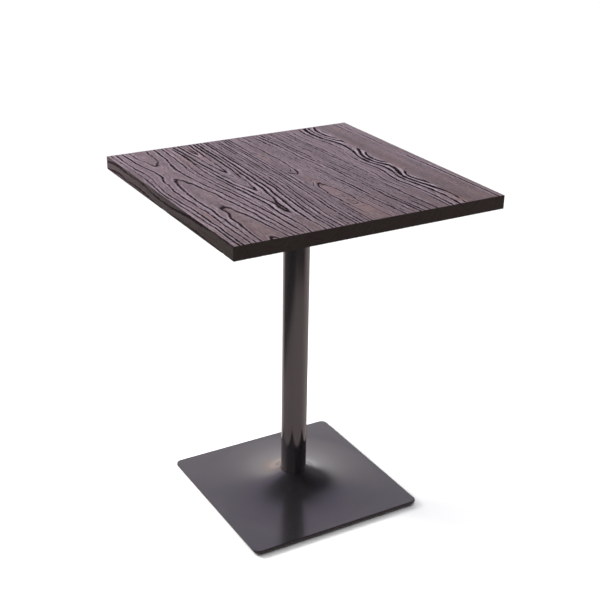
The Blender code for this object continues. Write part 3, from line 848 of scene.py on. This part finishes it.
def build_cover(finish):
    """The foot's cover: a sheet that rises to the column, and turns down into a rim."""
    low, neck = COVER_LOW.z, COVER_HIGH.z
    hole = COLUMN_RADIUS - COLUMN_WALL
    edge = 0.0002
    bend = 1.6 * SHEET
    flare_steps, bend_steps = 60, 6

    def around(radius, z):
        return [polar(radius, angle, z) for angle in foot_angles()]

    def rim(inset, z):
        return outline(COVER_HIGH.x - inset, FOOT_CORNER - inset, z)

    shares = [(i / flare_steps) ** 1.5 for i in range(flare_steps + 1)]
    rows = [around(hole, neck)]
    rows += [flare_row(share, 0.0) for share in shares]
    for i in range(bend_steps + 1):
        turn = math.pi / 2 * i / bend_steps
        rows.append(rim(bend * (1 - math.sin(turn)), COVER_LEVEL - bend * (1 - math.cos(turn))))
    rows += [rim(0, low + edge), rim(edge, low), rim(SHEET, low)]
    rows.append(rim(SHEET, COVER_LEVEL - 1.5 * SHEET))
    rows += [flare_row(share, SHEET) for share in reversed(shares[1:])]
    rows += [around(COLUMN_RADIUS + LEDGE / 2, neck - SHEET), around(hole, neck - SHEET)]
    data = mesh_of("foot_cover", loft(rows, closed=True), finish, angle=50)
    piece("foot_cover", data, "table", "base_cover")


# Castings and plates


def with_modifiers(data, *modifiers):
    """Mesh data after some modifiers, each given as its kind and its settings."""
    carrier = bpy.data.objects.new("carrier", data)
    bpy.context.scene.collection.objects.link(carrier)
    for kind, settings in modifiers:
        step = carrier.modifiers.new(kind, kind)
        for setting, value in settings.items():
            setattr(step, setting, value)
    result = carrier.evaluated_get(bpy.context.evaluated_depsgraph_get())
    made = bpy.data.meshes.new_from_object(result)
    bpy.data.objects.remove(carrier)
    return made


def build_casting(name, node, finish):
    """A sand casting in the shape of its CAD node: soft edges and an uneven skin."""
    data = with_modifiers(
        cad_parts[node].data.copy(),
        ("REMESH", dict(mode="VOXEL", voxel_size=0.0009)),
        ("SMOOTH", dict(factor=0.6, iterations=5)),
    )
    count = len(data.vertices)
    points = np.empty(3 * count)
    data.vertices.foreach_get("co", points)
    normals = np.empty(3 * count)
    data.vertex_normals.foreach_get("vector", normals)
    points = points.reshape(-1, 3)

    # The skin is drawn in by about the height of its lumps
    skin = 0.00010 * lumps(points, (0.004, 0.004, 0.004), 11) - 0.00012
    skin += 0.00004 * lumps(points, (0.0016, 0.0016, 0.0016), 12)
    points += skin[:, None] * normals.reshape(-1, 3)
    data.vertices.foreach_set("co", points.ravel())
    data.materials.clear()
    data.materials.append(finish)
    data.shade_smooth()
    data.update()
    piece(name, data, "table", node)


def joined(shapes, finish):
    """An object that holds several separate shapes, to cut many holes at once."""
    whole = bmesh.new()
    for shape in shapes:
        data = mesh_of("cutter", shape, finish)
        whole.from_mesh(data)
        bpy.data.meshes.remove(data)
    tool = bpy.data.objects.new("cutter", mesh_of("cutter", whole, finish))
    bpy.context.scene.collection.objects.link(tool)
    return tool


def build_ballast(finish):
    """The plate under the foot's cover, with broken edges and countersunk holes."""
    low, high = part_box("ballast_plate")
    corner = FOOT_CORNER - (COVER_HIGH.x - high.x)
    edge = 0.0004
    rows = []
    for inset, z in ((edge, low.z), (0, low.z + edge), (0, high.z - edge), (edge, high.z)):
        rows.append(outline(high.x - inset, corner - inset, z))
    plate = mesh_of("ballast", loft(rows), finish)

    margin = 0.001
    below, above = low.z - margin, high.z + margin
    sink = HUB_SCREW_HEAD_RADIUS + GAP
    hole = HUB_SCREW_RADIUS + GAP
    middle_hole = ((MIDDLE_HOLE_RADIUS, below), (MIDDLE_HOLE_RADIUS, above))
    nut_hole = ((BARREL_RADIUS + GAP, below), (BARREL_RADIUS + GAP, above))
    countersink = ((sink, below), (sink, low.z), (hole, low.z + sink - hole), (hole, above))

    def cutter(profile, x=0.0, y=0.0, sides=48):
        return moved(loft([ring(z, radius, sides) for radius, z in profile]), x, y)

    cutters = [cutter(middle_hole, sides=64)]
    for i in range(1, 5):
        x, y, _, _ = upright(f"glide_nut_{i}")
        cutters.append(cutter(nut_hole, x, y))
        x, y, _, _ = upright(f"hub_screw_{i}")
        cutters.append(cutter(countersink, x, y))
    tool = joined(cutters, finish)
    data = with_modifiers(plate, ("BOOLEAN", dict(operation="DIFFERENCE", object=tool)))
    bpy.data.objects.remove(tool)
    data.set_sharp_from_angle(angle=math.radians(30))
    piece("ballast", data, "table", "ballast_plate")


# Nuts, washers and screws. Each shape stands on z = 0


def upright(node):
    """The upright axis of a node, as x and y, and its lowest and highest z."""
    low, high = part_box(node)
    return (low.x + high.x) / 2, (low.y + high.y) / 2, low.z, high.z


def height_of(node):
    _, _, low, high = upright(node)
    return high - low


def moved(shape, x, y, z=0.0):
    shape.transform(Matrix.Translation((x, y, z)))
    return shape


def set_up(name, shape, finish, body, node):
    """A piece modelled from z = 0 up, put where its CAD node stands."""
    x, y, low, _ = upright(node)
    piece(name, mesh_of(name, moved(shape, x, y, low), finish, angle=35), body, node)


def socket_rows(depth, chamfer):
    """Rings of a hexagon socket in the face at z = 0, from its floor to its chamfered mouth."""
    socket = hexagon(SOCKET)
    mouth = ring(0, lambda angle: socket(angle) + chamfer)
    return [ring(depth, socket), ring(chamfer, socket), mouth]


def hex_nut(height):
    """An M12 nut. Its corners are cut by a cone at both ends."""
    corner = hexagon(NUT_FLATS)
    end_radius = 0.475 * NUT_FLATS
    sink = 0.0006
    sides = 72
    lower = np.linspace(0, NUT_CHAMFER, 5)
    rows = []
    for z in np.concatenate([lower, height - lower[::-1]]):
        cone = end_radius + min(z, height - z) * math.sqrt(3)
        rows.append(ring(z, lambda angle: min(corner(angle), cone), sides))
    bore = (
        (ROD_BORE + sink, height), (ROD_BORE, height - sink), (ROD_BORE, sink), (ROD_BORE + sink, 0),
    )
    rows += [ring(z, radius, sides) for radius, z in bore]
    return loft(rows, closed=True)


def washer(height):
    section = [(ROD_BORE, 0), (WASHER_RADIUS, 0), (WASHER_RADIUS, height), (ROD_BORE, height)]
    return turned(section, radius=0.0003)


def spring_washer(height):
    """A split ring. One of its ends stands a little above the other."""
    rise = 0.0003
    steps = 60
    outer, top = SPRING_WASHER_RADIUS, height - rise
    section = rounded([(ROD_BORE, 0), (outer, 0), (outer, top), (ROD_BORE, top)], radius=0.0003)
    rows = []
    for i in range(steps + 1):
        share = i / steps
        angle = WASHER_SPLIT / 2 + share * (math.tau - WASHER_SPLIT)
        rows.append([polar(radius, angle, z + rise * share) for radius, z in section])
    return loft(rows)


def tie_rod(length):
    """The M12 rod: plain between two threaded ends."""
    plain_radius = ROD_RADIUS - 0.0006
    plain_start = ROD_THREAD + 0.001
    rows = threads(ROD_RADIUS, ROD_PITCH, 0, ROD_THREAD)
    rows += [ring(z, plain_radius) for z in (plain_start, length - plain_start)]
    rows += threads(ROD_RADIUS, ROD_PITCH, length - ROD_THREAD, length)
    return loft(rows)


def wood_screw(length):
    """A screw with a rounded head, pointing up, and a hexagon socket in the head."""
    crown, crown_height, crown_steps = 0.0030, 0.002, 6
    edge, neck = 0.0003, 0.0001
    rows = socket_rows(depth=0.0022, chamfer=0.0002)
    for i in range(crown_steps + 1):
        turn = math.pi / 2 * i / crown_steps
        radius = crown + (SCREW_HEAD_RADIUS - crown) * math.sin(turn)
        rows.append(ring(crown_height * (1 - math.cos(turn)), radius))
    rows.append(ring(SCREW_HEAD - edge, SCREW_HEAD_RADIUS))
    rows.append(ring(SCREW_HEAD, SCREW_HEAD_RADIUS - edge))
    rows += threads(SCREW_RADIUS, SCREW_PITCH, SCREW_HEAD + neck, length, SCREW_POINT)
    return loft(rows)


def countersunk_screw(length):
    """An M6 screw with a flat countersunk head, pointing up, and a hexagon socket in the head."""
    head = HUB_SCREW_HEAD_RADIUS
    cone = head - HUB_SCREW_RADIUS
    edge, neck = 0.0003, 0.0002
    rows = socket_rows(depth=0.0018, chamfer=0.0002)
    rows += [ring(0, head - edge), ring(edge, head - edge / 3), ring(cone, HUB_SCREW_RADIUS)]
    rows += threads(HUB_SCREW_RADIUS, HUB_SCREW_PITCH, cone + neck, length)
    return loft(rows)


def glide_stud(length):
    """An M8 stud on a flat head, with a hexagon socket in the head's underside."""
    radius, height = STUD_HEAD_RADIUS, STUD_HEAD
    edge = 0.0002
    head = ((radius - edge, 0), (radius, edge), (radius, height - edge), (radius - edge, height))
    rows = socket_rows(depth=0.0023, chamfer=0.0001)
    rows += [ring(z, reach) for reach, z in head]
    return loft(rows + threads(STUD_RADIUS, STUD_PITCH, height, length))


def glide_nut(height, flange_low, flange_high):
    """A round flanged nut. The barrel above its flange is knurled, to hold in the plate."""
    bore, barrel, flange = STUD_BORE, BARREL_RADIUS, FLANGE_RADIUS
    edge, flange_edge, lead_in = 0.0003, 0.0002, 0.0005
    teeth, tooth_depth = 30, 0.00022

    def knurl(angle):
        return barrel - tooth_depth * abs(math.sin(teeth / 2 * angle))

    profile = (
        (bore + edge, 0), (barrel - edge, 0), (barrel, edge), (barrel, flange_low),
        (flange - flange_edge, flange_low), (flange, flange_low + flange_edge),
        (flange, flange_high - flange_edge), (flange - flange_edge, flange_high),
        (knurl, flange_high), (knurl, height - edge), (barrel - lead_in, height),
        (bore + edge, height), (bore, height - edge), (bore, edge),
    )
    return loft([ring(z, reach, sides=120) for reach, z in profile], closed=True)


def glide_pad(height, head_low, head_high):
    """A nylon cup. Its lip holds the stud's head, and a hole shows the head's socket."""
    hole, outer, cup = PAD_HOLE, PAD_RADIUS, PAD_CUP_RADIUS
    room = STUD_HEAD_RADIUS + GAP
    lip = STUD_HEAD_RADIUS - PAD_LIP
    edge = 0.0009
    floor, over = head_low - GAP, head_high + GAP
    profile = [
        (hole, 0), (outer - edge, 0), (outer, edge), (outer, height), (cup, height),
        (cup, over + PAD_LIP), (lip, over + PAD_LIP), (lip, over), (room, over),
        (room, floor), (hole, floor),
    ]
    return turned(profile, radius=0.0004, sides=96)


def build_tie_rod(finish):
    """The tie rod, with a washer, a spring washer and a nut at each end."""
    for end in ("top", "bottom"):
        for name, make in (("washer", washer), ("spring_washer", spring_washer), ("nut", hex_nut)):
            node = f"{end}_{name}"
            set_up(node + "_finished", make(height_of(node)), finish, "table", node)
    set_up("tie_rod_threaded", tie_rod(height_of("tie_rod")), finish, "table", "tie_rod")


def build_screws(finish):
    for kind, count, make in (("spider_screw", 8, wood_screw), ("hub_screw", 4, countersunk_screw)):
        for i in range(1, count + 1):
            node = f"{kind}_{i}"
            set_up(node + "_threaded", make(height_of(node)), finish, "table", node)


def build_glides(metal, plastic):
    """Four levelling glides: the nut is fixed, the stud turns, and the pad slides with it."""
    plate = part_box("ballast_plate")[0].z
    for i in range(1, 5):
        pad, stud, nut = f"glide_pad_{i}", f"glide_stud_{i}", f"glide_nut_{i}"
        _, _, nut_low, nut_high = upright(nut)
        flange_high = plate - GAP - nut_low
        shape = glide_nut(nut_high - nut_low, flange_high - FLANGE, flange_high)
        set_up(nut + "_knurled", shape, metal, "table", nut)
        set_up(stud + "_threaded", glide_stud(height_of(stud)), metal, f"stud_{i}", stud)

        # The pad stands on the floor, so a height in it is a height above the floor
        _, _, head_low, _ = upright(stud)
        shape = glide_pad(height_of(pad), head_low, head_low + STUD_HEAD)
        set_up(pad + "_moulded", shape, plastic, f"pad_{i}", pad)


# Studio


def build_camera():
    data = bpy.data.cameras.new("camera")
    data.lens = CAMERA_LENS
    camera = bpy.data.objects.new("camera", data)
    bpy.context.scene.collection.objects.link(camera)
    aim = (CAMERA_TARGET - CAMERA_PLACE).to_track_quat("-Z", "Y").to_matrix().to_4x4()
    roll = Matrix.Rotation(CAMERA_ROLL, 4, "Z")
    camera.matrix_world = Matrix.Translation(CAMERA_PLACE) @ aim @ roll
    bpy.context.scene.camera = camera


def build_floor():
    """A plain pale floor that isn't mirrored in the metal."""
    made, nodes = new_material("pale_floor")
    nodes.surface(Base_Color=rgb(0.95, 0.95, 0.95), Roughness=0.9)
    shape = bmesh.new()
    bmesh.ops.create_grid(shape, x_segments=1, y_segments=1, size=30)
    floor = bpy.data.objects.new("floor", mesh_of("floor", shape, made))
    bpy.context.scene.collection.objects.link(floor)
    floor.visible_glossy = False


def upper_walls(nodes, up, right, toward):
    """Brightness of the upper half: high behind the table, low to the right and near the camera."""
    backdrop = nodes.spread(up, 0.36, 0.62, 1.27, 0.58, smooth=True)
    horizon = nodes.spread(up, 0.02, 0.26, 0.06, 0.0, smooth=True)
    backdrop = nodes.maths("ADD", backdrop, horizon)
    overhead = nodes.spread(up, 0.62, 0.85, 0.0, 0.50, smooth=True)
    backdrop = nodes.maths("SUBTRACT", backdrop, overhead)
    aside = nodes.spread(right, 0.14, 0.34, 1.0, 0.15, smooth=True)
    ahead = nodes.spread(toward, -0.1, 0.6, 1.0, 0.30, smooth=True)
    return nodes.times(nodes.times(backdrop, aside), ahead)


def lower_walls(nodes, up, right, toward):
    """Brightness of the lower half, which the upright column mirrors.

    side is where on the column a direction shows, from -1 at its left edge to 1 at its right edge.
    The column is dark above a slanted line and at its lower end. It has a bright strip along both
    edges, and a thin dark line outside the right one.
    """
    side = nodes.maths("SINE", nodes.times(nodes.maths("ARCTAN2", right, toward), 0.5))
    slant = nodes.spread(side, -0.75, 0.05, -0.460, -0.392)
    dark = nodes.spread(nodes.maths("SUBTRACT", up, slant), -0.012, 0.012, smooth=True)
    below_slant = nodes.spread(side, -0.80, 0.20, 0.44, 0.54)
    above_slant = nodes.spread(side, -0.6, 0.1, 0.0, 0.06)
    level = nodes.blend(dark, below_slant, above_slant)
    right_strip = nodes.spread(side, 0.50, 0.85, smooth=True)
    right_line = nodes.spread(side, 0.92, 0.99)
    left_strip = nodes.spread(side, -0.80, -0.90)
    for strip, brightness in ((right_strip, 0.80), (right_line, 0.20), (left_strip, 1.0)):
        level = nodes.blend(strip, level, brightness)
    lowest = nodes.spread(up, -0.57, -0.54, 0.35, 1.0)
    return nodes.times(level, lowest)


def wall_tint(nodes, up, right, above):
    """Colour of the walls: warm low down, mostly on the left, and cool high up."""
    cool = nodes.spread(up, 0.45, 0.65, smooth=True)
    warm = nodes.times(nodes.spread(up, 0.36, 0.16), nodes.spread(right, 0.04, -0.14))
    upper = nodes.mix(warm, rgb(1, 1, 1), rgb(1.0, 0.85, 0.77))
    upper = nodes.mix(cool, upper, rgb(0.92, 0.88, 1.10))
    return nodes.mix(above, rgb(1.0, 0.88, 0.80), upper)


def build_world():
    """A studio seen by direction. The metal mirrors its walls, and the camera sees plain white."""
    world = bpy.data.worlds.new("studio")
    bpy.context.scene.world = world
    nodes = Nodes(world)
    way = nodes.add("ShaderNodeTexCoord").outputs["Generated"]
    _, _, up = nodes.split(way)
    toward = nodes.vector("DOT_PRODUCT", way, TOWARD_CAMERA)
    right = nodes.vector("DOT_PRODUCT", way, TO_THE_RIGHT)
    above = nodes.spread(up, -0.10, 0.0, smooth=True)
    lower = lower_walls(nodes, up, right, toward)
    level = nodes.blend(above, lower, upper_walls(nodes, up, right, toward))
    tint = wall_tint(nodes, up, right, above)
    mirrored = nodes.add("ShaderNodeBackground", {"Strength": level, "Color": tint})
    plain_wall = nodes.add("ShaderNodeBackground", {"Strength": 1.0, "Color": rgb(1, 1, 1)})
    seen = nodes.add("ShaderNodeLightPath").outputs["Is Camera Ray"]
    shade = nodes.add("ShaderNodeMixShader", {"Fac": seen})
    nodes.feed(shade.inputs[1], mirrored.outputs[0])
    nodes.feed(shade.inputs[2], plain_wall.outputs[0])
    nodes.add("ShaderNodeOutputWorld", {"Surface": shade.outputs[0]})


def soft_light(name, kind, place, aim, power, **settings):
    """A soft lamp that lights the table and isn't mirrored in its metal."""
    data = bpy.data.lights.new(name, kind)
    data.energy = power
    for setting, value in settings.items():
        setattr(data, setting, value)
    lamp = bpy.data.objects.new(name, data)
    bpy.context.scene.collection.objects.link(lamp)
    way = Vector(aim) - Vector(place)
    turn = way.to_track_quat("-Z", "Y").to_matrix().to_4x4()
    lamp.matrix_world = Matrix.Translation(place) @ turn
    lamp.visible_glossy = False


def build_lights():
    """Broad light from above, and a softbox to the left of the column."""
    soft_light("sky", "SUN", (-1.0, 0.6, 3.0), (0, 0, 0), power=2.9, angle=math.radians(100))
    soft_light("left_box", "AREA", (-0.72, -0.66, 0.70), (0, 0, 0.7), power=21, size=0.4)


def build_studio():
    bpy.context.scene.view_settings.view_transform = "Standard"
    build_camera()
    build_floor()
    build_world()
    build_lights()


def main():
    build_studio()
    timber = stained_wood()
    for name in BOARDS:
        build_board(name, timber)
    build_column(gunmetal("gunmetal_polished", 0.07, 0.09))
    build_cover(gunmetal("gunmetal_satin", 0.14, 0.18))
    iron = cast_iron()
    build_casting("spider_casting", "top_spider", iron)
    build_casting("hub_casting", "foot_hub", iron)
    build_ballast(painted_plate())
    plating = zinc()
    build_tie_rod(plating)
    build_screws(plating)
    build_glides(plating, nylon())


main()
